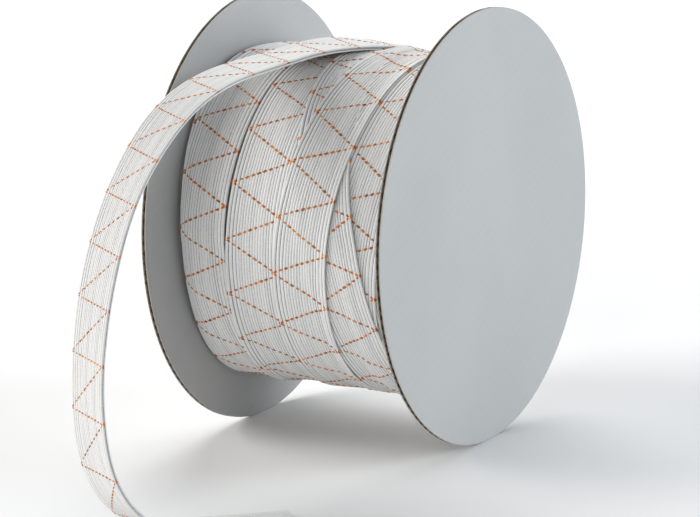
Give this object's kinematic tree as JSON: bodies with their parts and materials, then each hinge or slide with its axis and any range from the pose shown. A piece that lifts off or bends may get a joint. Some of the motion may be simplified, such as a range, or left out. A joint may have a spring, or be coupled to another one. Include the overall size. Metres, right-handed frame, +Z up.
{
  "type": "roll of elastic on a card reel",
  "caption": "White woven elastic wound on a round card reel that stands on its rims, with a loose end arching down over the front to the surface.",
  "frame": {"origin": "on the surface, under the centre of the box round the reel and its loose end", "axes": "+X along the reel's axis, towards the flange at the viewer's right; +Y from the loose end back to the reel; +Z up"},
  "size_m": [0.0884, 0.2308, 0.1439],
  "materials": {
    "card": "matt white-lined fluted board",
    "woven_elastic": "matt white ribbed weave with an orange dashed zigzag"
  },
  "bodies": {
    "root": {"flange_left": "card", "flange_right": "card", "wound_roll": "woven_elastic", "loose_end": "woven_elastic"}
  },
  "joints": []
}
